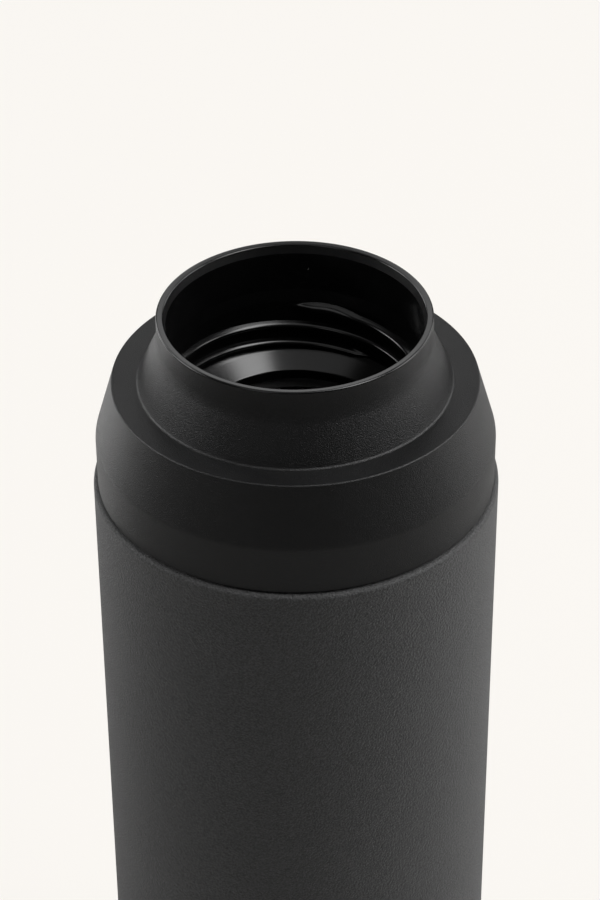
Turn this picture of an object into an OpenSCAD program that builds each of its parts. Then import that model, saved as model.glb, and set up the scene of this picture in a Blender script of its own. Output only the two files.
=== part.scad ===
// Double-walled steel vacuum flask with a screw-on drinking mouthpiece.
// +Z is up, millimetres, origin at the centre of the base on the surface it stands on.

/* [Body] */
// Outside diameter of the steel body
body_d = 66; // [65.4:0.1:67]
// Height of the seam between the body and the mouthpiece
seam_h = 172; // [120:1:220]
// Thickness of the outer steel wall
shell_t = 0.6; // [0.5:0.05:0.7]
// Thickness of the inner steel wall
liner_t = 0.5; // [0.4:0.05:0.6]
// Vacuum gap between the two steel walls
vacuum_gap = 2.0; // [1.8:0.1:2.4]
// Rounding of the body's upper edge
edge_r = 0.7; // [0.4:0.1:0.9]
// Rounding of the body's lower edge
foot_r = 2.5; // [2:0.1:3]

/* [Base] */
// Diameter of the silicone pad
pad_d = 53; // [46:1:53]
// Thickness of the silicone pad
pad_t = 1.6; // [1.4:0.1:2]
// Height of the steel foot ring above the ground
foot_lift = 0.6; // [0.4:0.1:0.8]
// Diameter of the recess that the pad sits in
recess_d = 54.4; // [54:0.2:56]

/* [Steel neck] */
// Inside diameter of the steel neck
neck_bore_d = 45.8; // [45.8:0.1:46]
// Height of the steel rim above the seam
neck_h = 11.5; // [11.3:0.1:11.6]
// Lead of the thread that holds the mouthpiece
neck_lead = 3; // [3:0.1:3.2]
// Turns of thread on the neck and in the mouthpiece
neck_turns = 1.75; // [1.25:0.25:1.75]
// Depth of that thread
neck_thread_h = 0.9; // [0.8:0.05:0.95]

/* [Mouthpiece] */
// Outside diameter of the drinking lip
lip_d = 43.8; // [43.4:0.1:44.2]
// Height of the lip above the seam
lip_h = 30.4; // [29.5:0.1:33]
// Inside diameter of the plain bore above the stopper thread
bore_d = 40.8; // [40.7:0.05:41]
// Diameter of the crease where the flared neck meets the ledge
crease_d = 50.5; // [49:0.1:52]
// Height of the ledge above the seam
ledge_h = 18.4; // [18:0.1:19]
// Outside diameter of the ledge
ledge_d = 58.8; // [58:0.1:60]
// Outside diameter of the band that meets the body
band_d = 64.6; // [64:0.1:64.8]
// Height of the band
band_h = 8.3; // [8:0.1:9]
// Rounding between the band and the sloping shoulder
band_round = 3; // [1:0.5:4]

/* [Stopper thread] */
// Diameter at the root of the stopper thread
thread_d = 40.2; // [39.8:0.1:40.2]
// Lead of the stopper thread
stopper_lead = 6.9; // [6.4:0.1:7]
// Number of starts of the stopper thread
stopper_starts = 2; // [1:1:2]
// Depth of the stopper thread
stopper_thread_h = 0.9; // [0.6:0.1:1]
// Turns of each start
stopper_turns = 1.12; // [0.8:0.02:1.14]
// Height above the seam where the stopper thread begins
thread_top_h = 18.75; // [18.5:0.05:18.8]

/* [Sealing seat] */
// Diameter of the seat's upper edge
seat_top_d = 38.8; // [37:0.1:39]
// Diameter of the hole inside the seat
seat_hole_d = 32.7; // [30:0.1:33]
// Height of the seat's upper edge above the seam
seat_top_h = 10.4; // [10.3:0.05:10.5]
// Height of the seat's inner edge above the seam
seat_low_h = 8.5; // [8.4:0.05:9]

/* [Hidden] */

// Colours
steel = [0.74, 0.74, 0.73];
coated = [0.10, 0.10, 0.10];
plastic = [0.05, 0.05, 0.055];
silicone = [0.22, 0.22, 0.22];
copper = [0.78, 0.46, 0.30];
glass = [0.35, 0.42, 0.38];

// Facets around a turned shape and around a small one
turn_facets = 96;
small_facets = 48;

// Clearances
fit_gap = 0.05;
part_gap = 0.1;
rim_gap = 0.3;
seam_gap = 0.35;

// Outer wall
body_r = body_d / 2;
shell_in_r = body_r - shell_t;
shoulder_z = seam_h - seam_gap;
rim_z = seam_h + neck_h;
joint_z = 5;
lap_h = 3;
bend_r = 0.3;

// Inner wall
liner_r = shell_in_r - vacuum_gap;
liner_in_r = liner_r - liner_t;
liner_top_z = shoulder_z - shell_t - vacuum_gap;
liner_bend = 6;
bore_steel_r = neck_bore_d / 2;
liner_neck_r = bore_steel_r + liner_t;

// Double-walled neck
neck_space = 0.7;
neck_bend = 1;
rim_round = 0.3;
shell_neck_in_r = liner_neck_r + neck_space;
shell_neck_r = shell_neck_in_r + shell_t;

// Base stack
pad_round = 0.5;
tape_t = 0.2;
tape_margin = 1;
cover_t = 0.6;
cover_z = pad_t + tape_t;
recess_slope = 0.3;
outer_base_t = 0.6;
outer_base_z = 13.4;
outer_base_bend = 1.5;
dimple_r = 6;
dimple_h = 1.6;
seal_hole_r = 1;
seal_r = 3.4;
seal_low_r = 2.6;
seal_h = 1.2;
inner_base_z = 18.2;
inner_base_top_z = 27;
inner_base_bend = 8;

// Shields and getter in the vacuum space
foil_t = 0.15;
foil_margin = 1;
getter_x = 15;
getter_r = 4;
getter_h = 1.6;
clip_t = 0.3;
clip_w = 4;

// Ridges of both threads
thread_bite = 0.4;
ring_step = 10;
taper_angle = 30;
taper_tip = 0.06;
taper_width = 0.4;
crest_share = 0.6;

// Thread between the steel neck and the mouthpiece
root_half = 0.7;
crest_half = 0.35;
crest_gap = 0.3;
male_z = seam_h + 2.3;
female_start = 120;
female_bias = 0.25;
female_z = male_z - neck_lead / 2 + female_bias + neck_lead * female_start / 360;

// Stopper thread
stopper_root_half = 0.6;
stopper_crest_half = 0.15;
stopper_start_angle = 93;

// Mouthpiece outside
lip_r = lip_d / 2;
bore_r = bore_d / 2;
lip_wall = lip_r - bore_r;
lip_round_share = 0.2;
lip_round = lip_round_share * lip_wall;
mouth_round_share = 0.25;
mouth_round = mouth_round_share * lip_wall;
flare_rise = 7.36;
flare_round = 6;
crease_round = 0.5;
ledge_round = 0.25;
band_foot_round = 0.3;

// Mouthpiece inside
bore_above_thread = 3.15;
bore_low_h = thread_top_h + bore_above_thread;
bore_lead_h = 2.2;
thread_run_out = 0.5;
seat_round = 0.3;

// Hollow between the mouthpiece's skin and its threaded sleeve
skin_t = 1.9;
sleeve_t = 1.6;
sleeve_low_h = 1.2;
sleeve_in_r = shell_neck_r + neck_thread_h + crest_gap;
sleeve_r = sleeve_in_r + sleeve_t;
hollow_roof_t = 3.4;
hollow_top_h = ledge_h - hollow_roof_t;
hollow_top_w = 0.8;
hollow_bend_drop = 0.4;
hollow_bend_h = band_h - hollow_bend_drop;

// Tube that reaches into the steel neck, with the gasket's groove
tube_gap = 0.9;
tube_r = bore_steel_r - tube_gap;
tube_low_h = 6.7;
hook_step = 0.8;
hook_r = tube_r - hook_step;
groove_depth = 1.2;
groove_r = hook_r - groove_depth;
groove_low_h = tube_low_h + hook_step;
groove_w = 1.5;
groove_top_h = groove_low_h + groove_w;

// Gasket
gasket_set_back = 0.65;
gasket_in_r = seat_hole_d / 2 + gasket_set_back;
gasket_low_h = 4.6;
gasket_round = 0.3;
gasket_lip_w = 0.5;
gasket_lip_r = bore_steel_r - part_gap;
gasket_web_r = gasket_lip_r - gasket_lip_w;
gasket_lips = 2;
gasket_lip_pitch = 2.6;
gasket_lip_below = 0.4;
gasket_lip_above = 0.6;
gasket_lip_round = 0.15;

// One rounded corner at b, between a and c, as n + 1 points on an arc of radius f
function corner(a, b, c, f, n) =
    let (
        u = (a - b) / norm(a - b),
        v = (c - b) / norm(c - b),
        half = acos(u * v) / 2,
        m = (u + v) / norm(u + v),
        o = b + m * f / sin(half),
        p = b + u * f / tan(half) - o,
        q = b + v * f / tan(half) - o,
        start = atan2(p.y, p.x),
        sweep = (atan2(q.y, q.x) - start + 540) % 360 - 180
    )
    [for (i = [0:n]) o + f * [cos(start + sweep * i / n), sin(start + sweep * i / n)]];

// A closed outline from [radius, height, rounding] rows
function rounded(rows, n = 4) =
    let (k = len(rows), flat = [for (row = rows) [row[0], row[1]]])
    [
        for (i = [0:k - 1])
            each rows[i][2] > 0
                ? corner(flat[(i + k - 1) % k], flat[i], flat[(i + 1) % k], rows[i][2], n)
                : [flat[i]]
    ];

// The same rows lifted by z
function lifted(rows, z) = [for (row = rows) [row[0], row[1] + z, row[2]]];

module turned(rows, n = 4) {
    rotate_extrude($fn = turn_facets) polygon(rounded(rows, n));
}

// Helical ridge from r_wall to r_crest, right-handed, pointed at both ends
module ridge(r_wall, r_crest, half_wall, half_crest, lead, turns, z, start) {
    steps = round(turns * 360 / ring_step);
    side = sign(r_crest - r_wall);
    r_root = r_wall - side * thread_bite;
    function grow(i) = min(1, min(i, steps - i) * ring_step / taper_angle);
    function ring(i) =
        let (
            a = start + i * ring_step,
            h = z + lead * i * ring_step / 360,
            g = taper_tip + (1 - taper_tip) * grow(i),
            r = r_wall + (r_crest - r_wall) * g,
            w = half_wall * (taper_width + (1 - taper_width) * g),
            c = min(half_crest, crest_share * w)
        )
        [
            for (p = [[r_root, -w], [r, -c], [r, c], [r_root, w]])
                [p.x * cos(a), p.x * sin(a), h + p.y]
        ];
    points = [for (i = [0:steps]) each ring(i)];
    sides = [
        for (i = [0:steps - 1], k = [0:3])
            let (a = 4 * i + k, b = 4 * i + (k + 1) % 4)
            each [[a, b, b + 4], [a, b + 4, a + 4]]
    ];
    ends = [[3, 2, 1, 0], [for (k = [0:3]) 4 * steps + k]];
    faces = concat(sides, ends);
    polyhedron(points, side > 0 ? faces : [for (f = faces) [for (i = [len(f) - 1:-1:0]) f[i]]]);
}

// Steel tube, necked at the top, with the thread that the mouthpiece screws on
module outer_shell() {
    color(coated) union() {
        turned([
            [body_r, joint_z, 0],
            [body_r, shoulder_z, edge_r],
            [shell_neck_r, shoulder_z, neck_bend],
            [shell_neck_r, rim_z - liner_t, 0],
            [shell_neck_in_r, rim_z - liner_t, 0],
            [shell_neck_in_r, shoulder_z - shell_t, neck_bend + shell_t],
            [shell_in_r, shoulder_z - shell_t, bend_r],
            [shell_in_r, joint_z, 0]
        ]);
        ridge(shell_neck_r, shell_neck_r + neck_thread_h, root_half, crest_half,
            neck_lead, neck_turns, male_z, 0);
    }
}

// Pan that closes the vacuum space, with a dimple around the pumping hole
module outer_base() {
    flange_r = shell_in_r - fit_gap;
    top_z = outer_base_z + outer_base_t;
    low_z = joint_z + lap_h;
    color(steel) turned([
        [flange_r, low_z, 0],
        [flange_r, top_z, outer_base_bend],
        [dimple_r + outer_base_t, top_z, 0],
        [dimple_r + outer_base_t, top_z + dimple_h, 0],
        [seal_hole_r, top_z + dimple_h, 0],
        [seal_hole_r, outer_base_z + dimple_h, 0],
        [dimple_r, outer_base_z + dimple_h, 0],
        [dimple_r, outer_base_z, 0],
        [flange_r - outer_base_t, outer_base_z, outer_base_bend - outer_base_t],
        [flange_r - outer_base_t, low_z, 0]
    ]);
}

// Solder-glass bead that plugs the pumping hole
module vacuum_seal() {
    roof_z = outer_base_z + dimple_h;
    plug_r = seal_hole_r - fit_gap;
    color(glass) turned([
        [0, roof_z - seal_h, 0],
        [seal_low_r, roof_z - seal_h, seal_h / 2],
        [seal_r, roof_z, 0],
        [plug_r, roof_z, 0],
        [plug_r, roof_z + outer_base_t, 0],
        [0, roof_z + outer_base_t, 0]
    ]);
}

// Pressed steel cup that hides the seal and carries the pad
module base_cover() {
    recess_r = recess_d / 2;
    ring_r = recess_r + cover_t;
    lap_r = shell_in_r - fit_gap;
    color(coated) turned([
        [0, cover_z, 0],
        [recess_r - recess_slope, cover_z, 0],
        [recess_r, foot_lift, bend_r],
        [body_r, foot_lift, foot_r],
        [body_r, joint_z, 0],
        [lap_r, joint_z, 0],
        [lap_r, joint_z + lap_h, 0],
        [lap_r - cover_t, joint_z + lap_h, 0],
        [lap_r - cover_t, foot_lift + cover_t, foot_r - cover_t],
        [ring_r, foot_lift + cover_t, bend_r],
        [ring_r - recess_slope, cover_z + cover_t, 0],
        [0, cover_z + cover_t, 0]
    ]);
}

// Double-sided tape between the cover and the pad
module pad_adhesive() {
    color("white") translate([0, 0, pad_t])
        cylinder(r = pad_d / 2 - tape_margin, h = tape_t, $fn = turn_facets);
}

// Silicone disc that the flask stands on
module base_pad() {
    pad_r = pad_d / 2;
    color(silicone) turned([
        [0, 0, 0],
        [pad_r, 0, pad_round],
        [pad_r, pad_t, 0],
        [0, pad_t, 0]
    ]);
}

// Inner wall, drawn in to the neck and turned out over the rim
module inner_vessel() {
    color(steel) turned([
        [liner_r, inner_base_top_z, 0],
        [liner_r, liner_top_z, liner_bend],
        [liner_neck_r, liner_top_z, neck_bend],
        [liner_neck_r, rim_z - liner_t, 0],
        [shell_neck_r, rim_z - liner_t, 0],
        [shell_neck_r, rim_z, rim_round],
        [bore_steel_r, rim_z, rim_round],
        [bore_steel_r, liner_top_z - liner_t, neck_bend + liner_t],
        [liner_in_r, liner_top_z - liner_t, liner_bend - liner_t],
        [liner_in_r, inner_base_top_z, 0]
    ], 6);
}

// Dished bottom, welded to the inner wall
module inner_base() {
    color(steel) turned([
        [0, inner_base_z, 0],
        [liner_r, inner_base_z, inner_base_bend],
        [liner_r, inner_base_top_z, 0],
        [liner_in_r, inner_base_top_z, 0],
        [liner_in_r, inner_base_z + liner_t, inner_base_bend - liner_t],
        [0, inner_base_z + liner_t, 0]
    ], 6);
}

// Radiation shield wrapped around the inner wall
module copper_foil() {
    foil_r = liner_r + part_gap;
    low_z = inner_base_top_z + foil_margin;
    top_z = liner_top_z - liner_bend - foil_margin;
    color(copper) turned([
        [foil_r, low_z, 0],
        [foil_r + foil_t, low_z, 0],
        [foil_r + foil_t, top_z, 0],
        [foil_r, top_z, 0]
    ]);
}

// Radiation shield under the inner bottom
module foil_disc() {
    color(copper) translate([0, 0, inner_base_z - foil_t])
        cylinder(r = liner_r - inner_base_bend, h = foil_t, $fn = turn_facets);
}

// Pellet that keeps the vacuum
module getter() {
    floor_z = outer_base_z + outer_base_t + clip_t;
    color("dimgray") translate([getter_x, 0, floor_z])
        cylinder(r = getter_r, h = getter_h, $fn = small_facets);
}

// Bent steel strip that holds the pellet on the outer bottom
module getter_clip() {
    floor_z = outer_base_z + outer_base_t;
    reach = getter_r + fit_gap;
    wall_h = getter_h + 2 * clip_t;
    color(steel) translate([getter_x, -clip_w / 2, floor_z]) {
        difference() {
            translate([-reach - clip_t, 0, 0]) cube([2 * (reach + clip_t), clip_w, wall_h]);
            translate([-reach, -1, clip_t]) cube([2 * reach, clip_w + 2, getter_h]);
        }
    }
}

// Silicone ring clipped around the lower end of the mouthpiece's tube, with two lips
module neck_gasket() {
    groove_face_r = groove_r + part_gap;
    hook_face_r = hook_r + part_gap;
    lip_rows = [
        for (i = [0:gasket_lips - 1])
            let (h = gasket_low_h + gasket_lip_below + i * gasket_lip_pitch)
            each [
                [gasket_web_r, h - gasket_lip_below, 0],
                [gasket_lip_r, h, gasket_lip_round],
                [gasket_web_r, h + gasket_lip_above, 0]
            ]
    ];
    inner_rows = [
        [gasket_web_r, groove_top_h - part_gap, 0],
        [groove_face_r, groove_top_h - part_gap, 0],
        [groove_face_r, groove_low_h + part_gap, 0],
        [hook_face_r, groove_low_h + part_gap, 0],
        [hook_face_r, tube_low_h - part_gap, 0],
        [gasket_in_r, tube_low_h - part_gap, gasket_round],
        [gasket_in_r, gasket_low_h, gasket_round]
    ];
    color(silicone) turned(lifted(concat(lip_rows, inner_rows), seam_h), 3);
}

// Drinking mouthpiece: lip, flared neck, ledge, shoulder and band outside; thread and seat inside
module mouthpiece() {
    band_r = band_d / 2;
    thread_r = thread_d / 2;
    seat_hole_r = seat_hole_d / 2;
    skin_in_r = band_r - skin_t;
    drop = stopper_lead * stopper_turns;
    outside = [
        [band_r, 0, band_foot_round],
        [band_r, band_h, band_round],
        [ledge_d / 2, ledge_h, ledge_round],
        [crease_d / 2, ledge_h, crease_round],
        [lip_r, ledge_h + flare_rise, flare_round],
        [lip_r, lip_h, lip_round]
    ];
    inside = [
        [bore_r, lip_h, mouth_round],
        [bore_r, bore_low_h, 0],
        [thread_r, bore_low_h - bore_lead_h, 0],
        [thread_r, seat_top_h + thread_run_out, 0],
        [seat_top_d / 2, seat_top_h, 0],
        [seat_hole_r, seat_low_h, seat_round],
        [seat_hole_r, tube_low_h, seat_round]
    ];
    tube = [
        [hook_r, tube_low_h, 0],
        [hook_r, groove_low_h, 0],
        [groove_r, groove_low_h, 0],
        [groove_r, groove_top_h, 0],
        [tube_r, groove_top_h, 0],
        [tube_r, neck_h + rim_gap, 0]
    ];
    under = [
        [sleeve_in_r, neck_h + rim_gap, 0],
        [sleeve_in_r, sleeve_low_h, 0],
        [sleeve_r, sleeve_low_h, 0],
        [sleeve_r, hollow_top_h, 0],
        [sleeve_r + hollow_top_w, hollow_top_h, 0],
        [skin_in_r, hollow_bend_h, 0],
        [skin_in_r, 0, 0]
    ];
    color(plastic) union() {
        turned(lifted(concat(outside, inside, tube, under), seam_h), 5);
        ridge(sleeve_in_r, sleeve_in_r - neck_thread_h, root_half, crest_half,
            neck_lead, neck_turns, female_z, female_start);
        for (i = [0:stopper_starts - 1])
            ridge(thread_r, thread_r - stopper_thread_h, stopper_root_half, stopper_crest_half,
                stopper_lead, stopper_turns, seam_h + thread_top_h - drop,
                stopper_start_angle + 360 * (i / stopper_starts - stopper_turns));
    }
}

outer_shell();
outer_base();
vacuum_seal();
base_cover();
pad_adhesive();
base_pad();
inner_vessel();
inner_base();
copper_foil();
foil_disc();
getter();
getter_clip();
neck_gasket();
mouthpiece();
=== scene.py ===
"""Looks for a steel vacuum flask with a black screw-on drinking mouthpiece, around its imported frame."""

import math

import bmesh
import bpy
import numpy as np
from mathutils import Matrix, Vector


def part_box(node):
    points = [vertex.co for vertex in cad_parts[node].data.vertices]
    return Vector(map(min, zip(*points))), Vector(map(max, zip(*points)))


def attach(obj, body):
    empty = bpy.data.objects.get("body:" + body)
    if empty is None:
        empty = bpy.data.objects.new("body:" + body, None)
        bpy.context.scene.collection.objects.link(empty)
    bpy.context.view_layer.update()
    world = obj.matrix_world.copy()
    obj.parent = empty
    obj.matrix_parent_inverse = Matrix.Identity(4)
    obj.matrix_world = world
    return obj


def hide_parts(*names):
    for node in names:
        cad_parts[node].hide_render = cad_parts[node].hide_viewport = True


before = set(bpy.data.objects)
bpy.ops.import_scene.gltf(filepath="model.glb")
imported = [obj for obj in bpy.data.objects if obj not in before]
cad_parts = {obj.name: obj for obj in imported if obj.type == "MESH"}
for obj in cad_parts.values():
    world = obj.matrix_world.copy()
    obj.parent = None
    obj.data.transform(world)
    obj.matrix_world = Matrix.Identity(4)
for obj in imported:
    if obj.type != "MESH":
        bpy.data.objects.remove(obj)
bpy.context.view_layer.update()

MM = 0.001

# Columns of faces around every turned surface, and their angles
COLUMNS = 256
ANGLES = np.linspace(0, 2 * math.pi, COLUMNS, endpoint=False)

# Millimetres from a corner to its support points, and the longest stretch with none between
HOLD = 0.06
LONGEST = 4.0

# Points closer than MERGE become one and edges shorter than SLIVER go, in metres
MERGE = 2e-7
SLIVER = 1e-8

# Edges that bend more than this many degrees look sharp
SHARP_ANGLE = 50


# ---------------------------------------------------------------- places, from the frame

def high(node):
    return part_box(node)[1]


def low(node):
    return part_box(node)[0]


# Millimetres from here on: heights above the ground, radii from the axis
BODY_R = high("outer_shell").x / MM
JOINT_Z = low("outer_shell").z / MM
NECK_TOP = high("outer_shell").z / MM
SEAM_Z = low("mouthpiece").z / MM
LIP_Z = high("mouthpiece").z / MM
BAND_R = high("mouthpiece").x / MM
RIM_Z = high("inner_vessel").z / MM
LINER_LOW_Z = low("inner_vessel").z / MM
LINER_R = high("inner_base").x / MM
LINER_FLOOR_Z = low("inner_base").z / MM
FOOT_Z = low("base_cover").z / MM
COVER_TOP_Z = high("base_cover").z / MM
PAD_R = high("base_pad").x / MM
PAD_T = high("base_pad").z / MM
TAPE_TOP = high("pad_adhesive").z / MM
GASKET_Z = low("neck_gasket").z / MM
GASKET_R = high("neck_gasket").x / MM

# Walls, and the double-walled neck
SHELL_T = 0.6
LINER_T = 0.5
VACUUM_GAP = 2.0
NECK_R = 24.7
NECK_SPACE = 0.7
BORE_STEEL_R = NECK_R - SHELL_T - NECK_SPACE - LINER_T
SEAM_GAP = 0.35
SHOULDER_Z = SEAM_Z - SEAM_GAP


# ---------------------------------------------------------------- outlines

def corner(before, here, after, radius, steps):
    """Points of an arc that rounds the corner between two neighbours."""
    back = (before - here) / np.linalg.norm(before - here)
    ahead = (after - here) / np.linalg.norm(after - here)
    half = math.acos(max(-1.0, min(1.0, float(back @ ahead)))) / 2
    centre = here + (back + ahead) / np.linalg.norm(back + ahead) * radius / math.sin(half)
    first = here + back * radius / math.tan(half) - centre
    last = here + ahead * radius / math.tan(half) - centre
    start = math.atan2(first[1], first[0])
    sweep = (math.atan2(last[1], last[0]) - start + 3 * math.pi) % (2 * math.pi) - math.pi
    turns = [start + sweep * i / steps for i in range(steps + 1)]
    return [centre + radius * np.array([math.cos(turn), math.sin(turn)]) for turn in turns]


def outline(rows, closed, steps):
    """An outline of [radius, height, rounding] rows, with support points beside every corner."""
    plain = [np.array(row[:2], float) for row in rows]
    count = len(plain)
    rounded = []
    for i, row in enumerate(rows):
        inner = closed or 0 < i < count - 1
        if row[2] > 0 and inner:
            rounded += corner(plain[i - 1], plain[i], plain[(i + 1) % count], row[2], steps)
        else:
            rounded.append(plain[i])
    points = []
    stretches = len(rounded) if closed else len(rounded) - 1
    for i in range(stretches):
        here = rounded[i]
        there = rounded[(i + 1) % len(rounded)]
        length = float(np.linalg.norm(there - here))
        points.append(here)
        if length > 4 * HOLD:
            pieces = max(1, math.ceil(length / LONGEST))
            marks = [HOLD / length] + [k / pieces for k in range(1, pieces)] + [1 - HOLD / length]
            points += [here + (there - here) * mark for mark in marks]
    if not closed:
        points.append(rounded[-1])
    return np.array(points)


# ---------------------------------------------------------------- turned and threaded surfaces

def turned(rows, closed=True, steps=8):
    """An outline turned around the axis, as corners and faces."""
    points = outline(rows, closed, steps)
    count = len(points)
    radius = points[:, 0:1]
    height = np.repeat(points[:, 1:2], COLUMNS, axis=1)
    xyz = np.stack([radius * np.cos(ANGLES), radius * np.sin(ANGLES), height], -1)
    row = np.arange(count if closed else count - 1)[:, None]
    column = np.arange(COLUMNS)[None, :]
    above = (row + 1) % count
    beside = (column + 1) % COLUMNS
    faces = [row * COLUMNS + column, row * COLUMNS + beside,
             above * COLUMNS + beside, above * COLUMNS + column]
    return xyz.reshape(-1, 3), np.stack(faces, -1).reshape(-1, 4)


# A thread's depth, rise per turn, turns of each start and number of starts; the spacing of the rows
# of faces that climb with it; half a ridge's width at its root and the degrees over which each end
# grows; and how much a bulge widens its upper end, over how many degrees. Lengths in millimetres.
NECK_THREAD = {
    "depth": 0.9, "lead": 3.0, "turns": 1.75, "starts": 1, "step": 0.24,
    "half_root": 0.7, "taper": 30.0, "bulge": 0.0, "bulge_angle": 30.0,
}
STOPPER_THREAD = {
    "depth": 0.9, "lead": 6.9, "turns": 1.12, "starts": 2, "step": 0.11,
    "half_root": 0.62, "taper": 14.0, "bulge": 0.62, "bulge_angle": 38.0,
}

# Share of a ridge's width at the very tip of its ends, and the power that rounds its section
TIP_WIDTH = 0.6
SECTION_POWER = 0.7

# Millimetres over which a ridge fades at the border of its wall, so that the border stays a circle
BORDER_FADE = 0.35

# A face that is less than this many millimetres high is flat
FLAT = 1e-6


def ridge_height(above, along, thread):
    """How high a ridge stands, from 0 to 1, at a height above its crest line and degrees along it."""
    to_top = 360.0 * thread["turns"] - along
    grow = np.clip(np.minimum(along, to_top) / thread["taper"], 0, 1)
    grow = grow * grow * (3 - 2 * grow)
    swell = np.sin(math.pi * np.clip(to_top / thread["bulge_angle"], 0, 1)) ** 2
    lower = thread["half_root"] * (TIP_WIDTH + (1 - TIP_WIDTH) * grow)
    upper = lower + thread["bulge"] * swell
    wide = np.where(above > 0, upper, lower)
    section = np.clip(1 - (above / wide) ** 2, 0, 1) ** SECTION_POWER
    return np.where((along > 0) & (to_top > 0), section * grow, 0)


def screw_wall(radius, side, low_z, high_z, thread, base_z, start):
    """A wall with a right-hand thread that begins at base_z and start degrees. Its ridges stand
    outwards for side 1 and inwards for -1. Its rows climb with them, so no row cuts across one."""
    lead = thread["lead"]
    starts = thread["starts"]
    per_turn = starts * round(lead / thread["step"] / starts)
    fine = lead / per_turn
    anchor = base_z - lead * start / 360
    first = math.floor((low_z - lead - anchor) / fine) - 1
    last = math.ceil((high_z - anchor) / fine) + 1
    count = last - first + 1
    climb = lead * ANGLES / (2 * math.pi)
    height = np.clip(anchor + fine * np.arange(first, last + 1)[:, None] + climb, low_z, high_z)
    ridges = np.zeros_like(height)

    # The angles only cover one turn, so each start is tried at every lap that can meet the wall
    for i in range(starts):
        for lap in range(-2, math.ceil(thread["turns"]) + 3):
            along = np.degrees(ANGLES)[None, :] + 360.0 * (lap + i / starts) - start
            above = height - (base_z + lead * along / 360)
            ridges = np.maximum(ridges, ridge_height(above, along, thread))
    fade = np.clip(np.minimum(height - low_z, high_z - height) / BORDER_FADE, 0, 1)
    reach = radius + side * thread["depth"] * ridges * fade
    xyz = np.stack([reach * np.cos(ANGLES), reach * np.sin(ANGLES), height], -1)

    # The last column joins the first one, a whole turn of rows higher
    row = np.arange(count - 1)[:, None]
    column = np.arange(COLUMNS)[None, :]
    beside = (column + 1) % COLUMNS
    wrap = np.where(beside == 0, per_turn, 0)
    near = np.minimum(row + wrap, count - 1)
    near_above = np.minimum(row + 1 + wrap, count - 1)
    faces = [row * COLUMNS + column, near * COLUMNS + beside,
             near_above * COLUMNS + beside, (row + 1) * COLUMNS + column]
    faces = np.stack(faces, -1).reshape(-1, 4)

    # Faces that the clip flattened onto the border are left out
    heights = height.reshape(-1)[faces]
    standing = (heights.max(axis=1) - heights.min(axis=1)) > FLAT
    return xyz.reshape(-1, 3), faces[standing]


def joined(name, patches):
    """One clean mesh from patches that share their borders, with its faces turned outwards."""
    corners = []
    faces = []
    count = 0
    for xyz, quads in patches:
        corners.append(xyz * MM)
        faces.append(quads + count)
        count += len(xyz)
    mesh = bpy.data.meshes.new(name)
    mesh.from_pydata(np.concatenate(corners).tolist(), [], np.concatenate(faces).tolist())
    work = bmesh.new()
    work.from_mesh(mesh)
    bmesh.ops.remove_doubles(work, verts=work.verts, dist=MERGE)
    bmesh.ops.dissolve_degenerate(work, dist=SLIVER, edges=work.edges)
    loose = [vertex for vertex in work.verts if not vertex.link_faces]
    bmesh.ops.delete(work, geom=loose, context="VERTS")
    bmesh.ops.recalc_face_normals(work, faces=work.faces)
    for face in work.faces:
        face.smooth = True
    for edge in work.edges:
        if len(edge.link_faces) == 2 and edge.calc_face_angle(0) > math.radians(SHARP_ANGLE):
            edge.smooth = False
    work.to_mesh(mesh)
    work.free()
    piece = bpy.data.objects.new(name, mesh)
    bpy.context.scene.collection.objects.link(piece)
    return piece


# ---------------------------------------------------------------- nodes that materials share

# Turns the grain away from the axes, so that it doesn't line up into a weave
GRAIN_TURN = (0.6, 0.9, 0.35)

# The stretch of values that nearly all of a noise lies in
NOISE_LOW = 0.3
NOISE_HIGH = 0.7


def material(name, base, roughness, metallic=0.0, ior=1.5):
    """A new material, with its node tree, its shader and the coordinates that noise is drawn in."""
    made = bpy.data.materials.new(name)
    made.use_nodes = True
    tree = made.node_tree
    shader = tree.nodes["Principled BSDF"]
    shader.inputs["Base Color"].default_value = (*base, 1)
    shader.inputs["Roughness"].default_value = roughness
    shader.inputs["Metallic"].default_value = metallic
    shader.inputs["IOR"].default_value = ior
    coords = tree.nodes.new("ShaderNodeTexCoord")
    return made, tree, shader, coords.outputs["Object"]


def noise(tree, coords, scale, detail=2.0, rough=0.5, stretch=None):
    """Noise, either turned away from the axes or stretched along them."""
    mapping = tree.nodes.new("ShaderNodeMapping")
    if stretch is None:
        mapping.inputs["Rotation"].default_value = GRAIN_TURN
    else:
        mapping.inputs["Scale"].default_value = stretch
    tree.links.new(coords, mapping.inputs["Vector"])
    texture = tree.nodes.new("ShaderNodeTexNoise")
    texture.inputs["Scale"].default_value = scale
    texture.inputs["Detail"].default_value = detail
    texture.inputs["Roughness"].default_value = rough
    tree.links.new(mapping.outputs["Vector"], texture.inputs["Vector"])
    return texture.outputs["Fac"]


def rough_between(tree, value, smoothest, roughest, shader):
    """Lets a noise vary the roughness between two values."""
    spread = tree.nodes.new("ShaderNodeMapRange")
    spread.inputs["From Min"].default_value = NOISE_LOW
    spread.inputs["From Max"].default_value = NOISE_HIGH
    spread.inputs["To Min"].default_value = smoothest
    spread.inputs["To Max"].default_value = roughest
    tree.links.new(value, spread.inputs["Value"])
    tree.links.new(spread.outputs["Result"], shader.inputs["Roughness"])


def tinted(tree, value, dark, light, shader):
    """Lets a noise vary the colour between two tones."""
    ramp = tree.nodes.new("ShaderNodeValToRGB")
    ramp.color_ramp.elements[0].position = NOISE_LOW
    ramp.color_ramp.elements[1].position = NOISE_HIGH
    ramp.color_ramp.elements[0].color = (*dark, 1)
    ramp.color_ramp.elements[1].color = (*light, 1)
    tree.links.new(value, ramp.inputs["Fac"])
    tree.links.new(ramp.outputs["Color"], shader.inputs["Base Color"])


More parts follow.
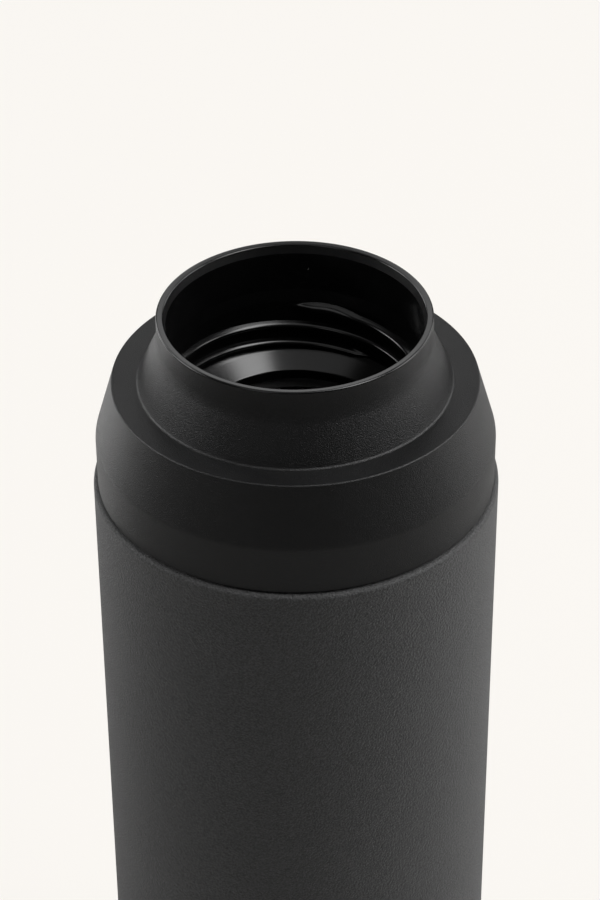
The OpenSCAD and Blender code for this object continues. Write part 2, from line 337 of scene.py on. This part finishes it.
def bumped(tree, shader, layers):
    """Chains bump nodes: layers are (height output, distance in metres, strength)."""
    previous = None
    for value, distance, strength in layers:
        bump = tree.nodes.new("ShaderNodeBump")
        bump.inputs["Strength"].default_value = strength
        bump.inputs["Distance"].default_value = distance
        tree.links.new(value, bump.inputs["Height"])
        if previous is not None:
            tree.links.new(previous, bump.inputs["Normal"])
        previous = bump.outputs["Normal"]
    tree.links.new(previous, shader.inputs["Normal"])


# ---------------------------------------------------------------- materials

def powder_coat():
    """Matte black coat with a fine sandy grain."""
    made, tree, shader, coords = material("powder_coat", (0.039, 0.039, 0.0395), 0.6)
    shader.inputs["Sheen Weight"].default_value = 0.2
    shader.inputs["Sheen Roughness"].default_value = 0.4
    sand = noise(tree, coords, 3000, rough=0.6)
    dust = noise(tree, coords, 6500, detail=1)
    orange_peel = noise(tree, coords, 700)
    cloud = noise(tree, coords, 35)
    tinted(tree, sand, (0.016, 0.016, 0.0163), (0.072, 0.072, 0.0725), shader)
    rough_between(tree, cloud, 0.56, 0.64, shader)
    bumped(tree, shader, [(orange_peel, 0.00006, 0.35), (sand, 0.00022, 1.0), (dust, 0.00008, 0.8)])
    return made


def moulded_satin():
    """Black plastic with the fine spark-eroded texture of its mould."""
    made, tree, shader, coords = material("plastic_satin", (0.004, 0.004, 0.0042), 0.33, ior=1.45)
    grain = noise(tree, coords, 5500, rough=0.6)
    fine = noise(tree, coords, 12000, detail=1)
    cloud = noise(tree, coords, 60, detail=3)
    tinted(tree, cloud, (0.0036, 0.0036, 0.0038), (0.0046, 0.0046, 0.0048), shader)
    rough_between(tree, cloud, 0.31, 0.36, shader)
    bumped(tree, shader, [(grain, 0.00009, 0.85), (fine, 0.00004, 0.8)])
    return made


def moulded_gloss():
    """The same plastic where its mould is polished."""
    made, tree, shader, coords = material("plastic_gloss", (0.002, 0.002, 0.0021), 0.2)
    wave = noise(tree, coords, 90)
    fine = noise(tree, coords, 1800)
    tinted(tree, fine, (0.0018, 0.0018, 0.0019), (0.0023, 0.0023, 0.0024), shader)
    rough_between(tree, wave, 0.17, 0.23, shader)
    bumped(tree, shader, [(wave, 0.00008, 0.12)])
    return made


def silicone(name, tone):
    """Satin silicone of one grey tone."""
    made, tree, shader, coords = material(name, (tone, tone, tone), 0.5)
    fine = noise(tree, coords, 1500, detail=3, rough=0.6)
    tinted(tree, fine, (tone * 0.85,) * 3, (tone * 1.15,) * 3, shader)
    rough_between(tree, fine, 0.45, 0.58, shader)
    bumped(tree, shader, [(fine, 0.00004, 0.35)])
    return made


def spun_steel(name, tone, roughness):
    """Stainless steel with fine lines around its axis."""
    made, tree, shader, coords = material(name, (tone, tone * 0.985, tone * 0.97), roughness, metallic=1.0)
    lines = noise(tree, coords, 60, detail=3, rough=0.65, stretch=(1, 1, 90))
    fine = noise(tree, coords, 900)
    tinted(tree, fine, (tone * 0.93,) * 3, (tone * 1.03, tone * 1.02, tone), shader)
    rough_between(tree, lines, roughness * 0.8, roughness * 1.25, shader)
    bumped(tree, shader, [(lines, 0.00002, 0.25)])
    return made


def copper_sheet():
    """Bright copper foil, slightly creased."""
    made, tree, shader, coords = material("copper_sheet", (0.78, 0.42, 0.28), 0.28, metallic=1.0)
    creases = noise(tree, coords, 220, detail=4, rough=0.6)
    tinted(tree, creases, (0.62, 0.31, 0.2), (0.86, 0.5, 0.34), shader)
    rough_between(tree, creases, 0.2, 0.38, shader)
    bumped(tree, shader, [(creases, 0.0002, 0.4)])
    return made


def plain_grain(name, base, roughness, metallic=0.0):
    """A fine even grain, for the small hidden pieces."""
    made, tree, shader, coords = material(name, base, roughness, metallic)
    fine = noise(tree, coords, 1800, detail=3, rough=0.6)
    tinted(tree, fine, tuple(c * 0.8 for c in base), tuple(c * 1.2 for c in base), shader)
    rough_between(tree, fine, roughness * 0.85, roughness * 1.15, shader)
    bumped(tree, shader, [(fine, 0.00005, 0.5)])
    return made


COAT = powder_coat()
SATIN = moulded_satin()
GLOSS = moulded_gloss()
GREY_SILICONE = silicone("grey_silicone", 0.075)
BLACK_SILICONE = silicone("black_silicone", 0.03)
STEEL = spun_steel("satin_steel", 0.62, 0.3)
POLISHED = spun_steel("polished_steel", 0.64, 0.2)
COPPER = copper_sheet()
GLASS_BEAD = plain_grain("solder_glass", (0.2, 0.25, 0.22), 0.15)
PELLET = plain_grain("sintered_pellet", (0.18, 0.18, 0.19), 0.7, 0.6)
TAPE = plain_grain("foam_tape", (0.75, 0.74, 0.7), 0.8)


def dress(piece, body, finish, node):
    """Gives a piece its finish and its body, and hides the CAD node that it stands for."""
    piece.data.materials.clear()
    piece.data.materials.append(finish)
    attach(piece, body)
    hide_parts(node)
    return piece


# ---------------------------------------------------------------- camera

# The lens on a sensor that is 36 mm along its longer side
LENS = 117.74
SENSOR = 36.0

# The camera's place in millimetres, its height counted from the seam, and its angles in degrees;
# and how many metres off it stops seeing
CAMERA_X = 0.67
CAMERA_Y = -387.6
CAMERA_ABOVE_SEAM = 283.5
CAMERA_DOWN = 35.80
CAMERA_ROLL = -0.427
FARTHEST_SEEN = 50


def camera():
    """Looks down at the mouth from the front, at the photograph's angle and framing."""
    data = bpy.data.cameras.new("camera")
    data.lens = LENS
    data.sensor_width = SENSOR
    data.clip_end = FARTHEST_SEEN
    cam = bpy.data.objects.new("camera", data)
    bpy.context.scene.collection.objects.link(cam)
    place = Vector((CAMERA_X, CAMERA_Y, SEAM_Z + CAMERA_ABOVE_SEAM)) * MM
    tilt = Matrix.Rotation(math.radians(90 - CAMERA_DOWN), 4, "X")
    roll = Matrix.Rotation(math.radians(CAMERA_ROLL), 4, "Z")
    cam.matrix_world = Matrix.Translation(place) @ tilt @ roll
    bpy.context.scene.camera = cam


# ---------------------------------------------------------------- floor and sky

# The floor and the sky are pale to the camera and darker to the light that they throw on the flask
FLOOR_HALF = 6.0
FLOOR_THROWN = (0.3, 0.296, 0.288)
FLOOR_THROWN_DARK = (0.295, 0.291, 0.283)
FLOOR_THROWN_LIGHT = (0.305, 0.301, 0.293)
FLOOR_SEEN = (0.11, 0.107, 0.103)
FLOOR_GLOW = (1.0, 0.972, 0.93)
FLOOR_GLOW_STRENGTH = 0.835
SKY_SEEN = (0.93, 0.915, 0.885)
SKY_THROWN = (1, 0.99, 0.97)
SKY_THROWN_STRENGTH = 0.03


def seen_or_thrown(tree, seen, thrown):
    """The shader `seen` for what the camera sees directly, and `thrown` for every other ray."""
    path = tree.nodes.new("ShaderNodeLightPath")
    mix = tree.nodes.new("ShaderNodeMixShader")
    tree.links.new(path.outputs["Is Camera Ray"], mix.inputs[0])
    tree.links.new(thrown.outputs[0], mix.inputs[1])
    tree.links.new(seen.outputs[0], mix.inputs[2])
    return mix


def pale_floor():
    """White to the camera, with a soft shadow: a weak diffuse part takes the shadow and a glow lifts it."""
    made, tree, shader, coords = material("pale_floor", FLOOR_THROWN, 0.9)
    soft = noise(tree, coords, 3)
    tinted(tree, soft, FLOOR_THROWN_DARK, FLOOR_THROWN_LIGHT, shader)
    white = tree.nodes.new("ShaderNodeBsdfDiffuse")
    white.inputs["Color"].default_value = (*FLOOR_SEEN, 1)
    glow = tree.nodes.new("ShaderNodeEmission")
    glow.inputs["Color"].default_value = (*FLOOR_GLOW, 1)
    glow.inputs["Strength"].default_value = FLOOR_GLOW_STRENGTH
    seen = tree.nodes.new("ShaderNodeAddShader")
    tree.links.new(white.outputs[0], seen.inputs[0])
    tree.links.new(glow.outputs[0], seen.inputs[1])
    mix = seen_or_thrown(tree, seen, shader)
    tree.links.new(mix.outputs[0], tree.nodes["Material Output"].inputs["Surface"])
    return made


def floor():
    mesh = bpy.data.meshes.new("floor")
    half = FLOOR_HALF
    corners = [(-half, -half, 0), (half, -half, 0), (half, half, 0), (-half, half, 0)]
    mesh.from_pydata(corners, [], [(0, 1, 2, 3)])
    piece = bpy.data.objects.new("floor", mesh)
    bpy.context.scene.collection.objects.link(piece)
    mesh.materials.append(pale_floor())


def sky():
    world = bpy.data.worlds.new("studio")
    bpy.context.scene.world = world
    world.use_nodes = True
    tree = world.node_tree
    tree.nodes.clear()
    out = tree.nodes.new("ShaderNodeOutputWorld")
    seen = tree.nodes.new("ShaderNodeBackground")
    seen.inputs["Color"].default_value = (*SKY_SEEN, 1)
    thrown = tree.nodes.new("ShaderNodeBackground")
    thrown.inputs["Color"].default_value = (*SKY_THROWN, 1)
    thrown.inputs["Strength"].default_value = SKY_THROWN_STRENGTH
    mix = seen_or_thrown(tree, seen, thrown)
    tree.links.new(mix.outputs[0], out.inputs[0])


# ---------------------------------------------------------------- lights

# Name, degrees to the right of the camera's side, degrees above the horizon, watts and side in metres
SOFT_BOXES = [
    ("left", -97, 24, 6.9, 0.6), ("left_back", -130, 14, 3.6, 0.6),
    ("right", 98, 24, 6.4, 0.6), ("right_back", 128, 18, 3.4, 0.6),
    ("upper_right", 64, 46, 6.0, 0.6), ("top_right", 80, 66, 5.0, 0.5),
    ("overhead", 0, 86, 2.5, 1.3), ("front_left", -30, 28, 0.8, 0.5), ("back", 180, 29, 2.0, 0.7),
    ("back_left", -146, 40, 0.6, 0.25),
]

# Soft boxes that lie on the floor and shine up: name, degrees as above and watts
FLOOR_BOXES = [("left_floor", -132, 0.75), ("right_floor", 118, 0.5)]

# Metres: the point that the soft boxes face, how far off they stand, and the place and side of the
# boxes on the floor
LIT_HEIGHT = 0.18
BOX_DISTANCE = 1.3
FLOOR_BOX_DISTANCE = 0.55
FLOOR_BOX_HEIGHT = 0.004
FLOOR_BOX_SIDE = 0.45


def panel(name, place, facing, size, watts):
    """A square lamp that lights the flask and isn't itself in the picture."""
    data = bpy.data.lights.new(name, "AREA")
    data.shape = "SQUARE"
    data.size = size
    data.energy = watts
    lamp = bpy.data.objects.new(name, data)
    bpy.context.scene.collection.objects.link(lamp)
    lamp.location = place
    lamp.rotation_euler = facing.to_track_quat("-Z", "Y").to_euler()
    lamp.visible_camera = False


def studio():
    target = Vector((0, 0, LIT_HEIGHT))
    for name, azimuth, elevation, watts, size in SOFT_BOXES:
        turn = math.radians(azimuth)
        rise = math.radians(elevation)
        away = Vector((math.sin(turn) * math.cos(rise), -math.cos(turn) * math.cos(rise), math.sin(rise)))
        panel(name, target + away * BOX_DISTANCE, -away, size, watts)
    for name, azimuth, watts in FLOOR_BOXES:
        turn = math.radians(azimuth)
        place = Vector((FLOOR_BOX_DISTANCE * math.sin(turn), -FLOOR_BOX_DISTANCE * math.cos(turn),
                        FLOOR_BOX_HEIGHT))
        panel(name, place, Vector((0, 0, 1)), FLOOR_BOX_SIDE, watts)
    bpy.context.scene.view_settings.view_transform = "Standard"


camera()
floor()
sky()
studio()


# ---------------------------------------------------------------- steel body

# Millimetres: where the neck thread begins above the seam, and the plain neck between the shoulder
# and the threaded wall
NECK_THREAD_H = 2.3
PLAIN_NECK_H = 1.2

# The bottom cup, in millimetres: its thickness, the clearance at its lap, and the pad's recess
COVER_T = 0.6
FIT_GAP = 0.05
RECESS_R = 27.2
RECESS_SLOPE = 0.3

# The pad's grip grooves, in millimetres
GROOVE_RADII = (8.0, 12.0, 16.0, 20.0, 24.0)
GROOVE_W = 0.8
GROOVE_H = 0.25


def outer_shell():
    """Powder-coated tube, necked at the top, with the thread that the mouthpiece screws on."""
    screw_low = SHOULDER_Z + PLAIN_NECK_H
    rows = [
        [NECK_R, screw_low, 0], [NECK_R, SHOULDER_Z, 1.0], [BODY_R, SHOULDER_Z, 0.7],
        [BODY_R, JOINT_Z, 0.08], [BODY_R - SHELL_T, JOINT_Z, 0],
        [BODY_R - SHELL_T, SHOULDER_Z - SHELL_T, 0.3],
        [NECK_R - SHELL_T, SHOULDER_Z - SHELL_T, 1.6], [NECK_R - SHELL_T, NECK_TOP, 0],
        [NECK_R, NECK_TOP, 0],
    ]
    wall = screw_wall(NECK_R, 1, screw_low, NECK_TOP, NECK_THREAD, SEAM_Z + NECK_THREAD_H, 0)
    piece = joined("body_shell", [turned(rows, closed=False), wall])
    return dress(piece, "flask", COAT, "outer_shell")


def base_cover():
    """Pressed cup with a recess for the pad and a lap that goes up inside the body."""
    lap_r = BODY_R - SHELL_T - FIT_GAP
    ring_r = RECESS_R + COVER_T
    rows = [
        [0, TAPE_TOP, 0], [RECESS_R - RECESS_SLOPE, TAPE_TOP, 0.3], [RECESS_R, FOOT_Z, 0.3],
        [BODY_R, FOOT_Z, 2.5], [BODY_R, JOINT_Z, 0.08], [lap_r, JOINT_Z, 0],
        [lap_r, COVER_TOP_Z, 0.1], [lap_r - COVER_T, COVER_TOP_Z, 0.1],
        [lap_r - COVER_T, FOOT_Z + COVER_T, 1.9], [ring_r, FOOT_Z + COVER_T, 0.3],
        [ring_r - RECESS_SLOPE, TAPE_TOP + COVER_T, 0.2], [0, TAPE_TOP + COVER_T, 0],
    ]
    piece = joined("bottom_cup", [turned(rows, closed=False)])
    return dress(piece, "flask", COAT, "base_cover")


def base_pad():
    """Silicone disc with shallow concentric grip grooves in its face."""
    rows = [[0, 0, 0]]
    for radius in GROOVE_RADII:
        rows += [[radius - GROOVE_W / 2, 0, 0.1], [radius - GROOVE_W / 4, GROOVE_H, 0.1],
                 [radius + GROOVE_W / 4, GROOVE_H, 0.1], [radius + GROOVE_W / 2, 0, 0.1]]
    rows += [[PAD_R, 0, 0.5], [PAD_R, PAD_T, 0.05], [0, PAD_T, 0]]
    piece = joined("foot_pad", [turned(rows, closed=False, steps=4)])
    return dress(piece, "flask", BLACK_SILICONE, "base_pad")


# ---------------------------------------------------------------- steel liner

# Outer radius of the bend between the liner's wall and its bottom, in millimetres
LINER_BEND = 8.0


def inner_vessel():
    """Inner wall, drawn in to the neck and turned out over the rim."""
    top = SHOULDER_Z - SHELL_T - VACUUM_GAP
    neck_out = BORE_STEEL_R + LINER_T
    rows = [
        [LINER_R, LINER_LOW_Z, 0], [LINER_R, top, 6.0], [neck_out, top, 1.0],
        [neck_out, RIM_Z - LINER_T, 0], [NECK_R, RIM_Z - LINER_T, 0.1], [NECK_R, RIM_Z, 0.3],
        [BORE_STEEL_R, RIM_Z, 0.3], [BORE_STEEL_R, top - LINER_T, 1.5],
        [LINER_R - LINER_T, top - LINER_T, 5.5], [LINER_R - LINER_T, LINER_LOW_Z, 0],
    ]
    piece = joined("liner_wall", [turned(rows, steps=12)])
    return dress(piece, "flask", POLISHED, "inner_vessel")


def inner_base():
    """Dished bottom, welded to the inner wall."""
    floor_z = LINER_FLOOR_Z
    rows = [
        [0, floor_z, 0], [LINER_R, floor_z, LINER_BEND], [LINER_R, LINER_LOW_Z, 0],
        [LINER_R - LINER_T, LINER_LOW_Z, 0],
        [LINER_R - LINER_T, floor_z + LINER_T, LINER_BEND - LINER_T], [0, floor_z + LINER_T, 0],
    ]
    piece = joined("liner_bottom", [turned(rows, closed=False, steps=14)])
    return dress(piece, "flask", POLISHED, "inner_base")


# ---------------------------------------------------------------- mouthpiece

# Radii and one thickness, in millimetres
LIP_R = 21.9
BORE_R = 20.4
THREAD_R = 20.1
CREASE_R = 25.25
LEDGE_R = 29.4
SEAT_TOP_R = 19.4
SEAT_HOLE_R = 16.35
TUBE_R = 22.0
HOOK_R = 21.2
GROOVE_R = 20.0
SLEEVE_IN_R = 25.9
SLEEVE_R = 27.5
SKIN_T = 1.9
SKIN_IN_R = BAND_R - SKIN_T

# Heights above the ground, and one width, in millimetres
BAND_TOP_Z = SEAM_Z + 8.3
LEDGE_Z = SEAM_Z + 18.4
FLARE_TOP_Z = LEDGE_Z + 7.36
BORE_LOW_Z = SEAM_Z + 21.9
THREAD_TOP_Z = SEAM_Z + 19.7
THREAD_LOW_Z = SEAM_Z + 10.9
SEAT_TOP_Z = SEAM_Z + 10.4
SEAT_LOW_Z = SEAM_Z + 8.5
TUBE_LOW_Z = SEAM_Z + 6.7
GROOVE_LOW_Z = SEAM_Z + 7.5
GROOVE_TOP_Z = SEAM_Z + 9.0
SLEEVE_LOW_Z = SEAM_Z + 1.2
SLEEVE_ROOF_Z = SEAM_Z + 11.8
HOLLOW_TOP_Z = SEAM_Z + 15.0
HOLLOW_BEND_Z = SEAM_Z + 7.9
HOLLOW_TOP_W = 0.8

# The lip slopes inwards by LIP_DROP to a cone CONE_W wide, whose satin face ends SATIN_DEPTH down
LIP_DROP = 0.13
CONE_W = 0.36
SATIN_DEPTH = 1.65

# The lip's polished top reaches this far down, and begins this far out from the bore
LIP_TOP_DEPTH = 0.35
LIP_TOP_MARGIN = 0.3

# Where the stopper thread ends above, and where the thread for the steel neck begins below:
# millimetres above the ground, and degrees around
STOPPER_END_Z = SEAM_Z + 18.75
STOPPER_END_ANGLE = 93
SLEEVE_THREAD_Z = SEAM_Z + 2.05
SLEEVE_THREAD_ANGLE = 120


def polish(piece):
    """Gives the gloss finish to the faces inside the mouth and on top of the lip."""
    piece.data.materials.append(GLOSS)
    faces = piece.data.polygons
    centres = np.empty(len(faces) * 3)
    faces.foreach_get("center", centres)
    x, y, height = centres.reshape(-1, 3).T / MM
    reach = np.hypot(x, y)
    inside = (reach < (BORE_R + TUBE_R) / 2) & (height < LIP_Z - SATIN_DEPTH)
    lip_top = (reach > BORE_R + LIP_TOP_MARGIN) & (height > LIP_Z - LIP_TOP_DEPTH)
    faces.foreach_set("material_index", (inside | lip_top).astype(np.int32))


def mouthpiece():
    """Lip, flared neck, ledge, shoulder and band outside; thread and sealing seat inside."""
    outside = [
        [SLEEVE_IN_R, SLEEVE_LOW_Z, 0], [SLEEVE_R, SLEEVE_LOW_Z, 0.1], [SLEEVE_R, HOLLOW_TOP_Z, 0.1],
        [SLEEVE_R + HOLLOW_TOP_W, HOLLOW_TOP_Z, 0.1], [SKIN_IN_R, HOLLOW_BEND_Z, 0],
        [SKIN_IN_R, SEAM_Z, 0.1], [BAND_R, SEAM_Z, 0.3], [BAND_R, BAND_TOP_Z, 3.0],
        [LEDGE_R, LEDGE_Z, 0.3], [CREASE_R, LEDGE_Z, 0.5], [LIP_R, FLARE_TOP_Z, 6.0],
        [LIP_R, LIP_Z, 0.3], [BORE_R + CONE_W, LIP_Z - LIP_DROP, 0.28],
        [BORE_R, LIP_Z - SATIN_DEPTH, 0], [BORE_R, BORE_LOW_Z, 2.0], [THREAD_R, THREAD_TOP_Z, 0],
    ]
    inside = [
        [THREAD_R, THREAD_LOW_Z, 0], [SEAT_TOP_R, SEAT_TOP_Z, 0.4], [SEAT_HOLE_R, SEAT_LOW_Z, 0.3],
        [SEAT_HOLE_R, TUBE_LOW_Z, 0.3], [HOOK_R, TUBE_LOW_Z, 0.1], [HOOK_R, GROOVE_LOW_Z, 0],
        [GROOVE_R, GROOVE_LOW_Z, 0], [GROOVE_R, GROOVE_TOP_Z, 0], [TUBE_R, GROOVE_TOP_Z, 0.1],
        [TUBE_R, SLEEVE_ROOF_Z, 0], [SLEEVE_IN_R, SLEEVE_ROOF_Z, 0],
    ]
    turns = STOPPER_THREAD["turns"]
    stopper_z = STOPPER_END_Z - STOPPER_THREAD["lead"] * turns
    stopper_angle = STOPPER_END_ANGLE - 360 * turns
    patches = [
        turned(outside, closed=False),
        screw_wall(THREAD_R, -1, THREAD_LOW_Z, THREAD_TOP_Z, STOPPER_THREAD, stopper_z, stopper_angle),
        turned(inside, closed=False, steps=6),
        screw_wall(SLEEVE_IN_R, -1, SLEEVE_LOW_Z, SLEEVE_ROOF_Z, NECK_THREAD,
                   SLEEVE_THREAD_Z, SLEEVE_THREAD_ANGLE),
    ]
    piece = joined("drinking_mouthpiece", patches)
    dress(piece, "mouthpiece", SATIN, "mouthpiece")
    polish(piece)
    return piece


# ---------------------------------------------------------------- gasket

# Radii in millimetres: the opening, and the faces around the mouthpiece's groove and hook
GASKET_IN_R = 17.0
GASKET_GROOVE_R = 20.1
GASKET_HOOK_R = 21.3

# The two lips, in millimetres: reach, height of each tip above the gasket's foot, and where a lip
# leaves the web below and above its tip
GASKET_LIP_W = 0.5
GASKET_TIPS = (0.4, 3.0)
GASKET_LIP_BELOW = 0.4
GASKET_LIP_ABOVE = 0.6

# Heights above the gasket's foot: the top of the flange under the hook, the groove's lower face and the top
GASKET_FLANGE_H = 2.0
GASKET_GROOVE_H = 3.0
GASKET_TOP_H = 4.3


def neck_gasket():
    """Grey ring clipped around the tube, with two sealing lips against the steel neck."""
    foot = GASKET_Z
    web_r = GASKET_R - GASKET_LIP_W
    rows = []
    for tip in GASKET_TIPS:
        rows += [[web_r, foot + tip - GASKET_LIP_BELOW, 0.05], [GASKET_R, foot + tip, 0.15],
                 [web_r, foot + tip + GASKET_LIP_ABOVE, 0.1]]
    rows += [
        [web_r, foot + GASKET_TOP_H, 0.1], [GASKET_GROOVE_R, foot + GASKET_TOP_H, 0.1],
        [GASKET_GROOVE_R, foot + GASKET_GROOVE_H, 0], [GASKET_HOOK_R, foot + GASKET_GROOVE_H, 0],
        [GASKET_HOOK_R, foot + GASKET_FLANGE_H, 0], [GASKET_IN_R, foot + GASKET_FLANGE_H, 0.2],
        [GASKET_IN_R, foot, 0.3],
    ]
    piece = joined("seal_ring", [turned(rows, steps=5)])
    return dress(piece, "gasket_ring", GREY_SILICONE, "neck_gasket")


# ---------------------------------------------------------------- the flask

outer_shell()
base_cover()
base_pad()
inner_vessel()
inner_base()
mouthpiece()
neck_gasket()

# Hidden pieces that keep their CAD shape
for name, finish in {
    "outer_base": STEEL, "vacuum_seal": GLASS_BEAD, "pad_adhesive": TAPE, "copper_foil": COPPER,
    "foil_disc": COPPER, "getter": PELLET, "getter_clip": STEEL,
}.items():
    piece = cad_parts[name]
    piece.data.materials.clear()
    piece.data.materials.append(finish)
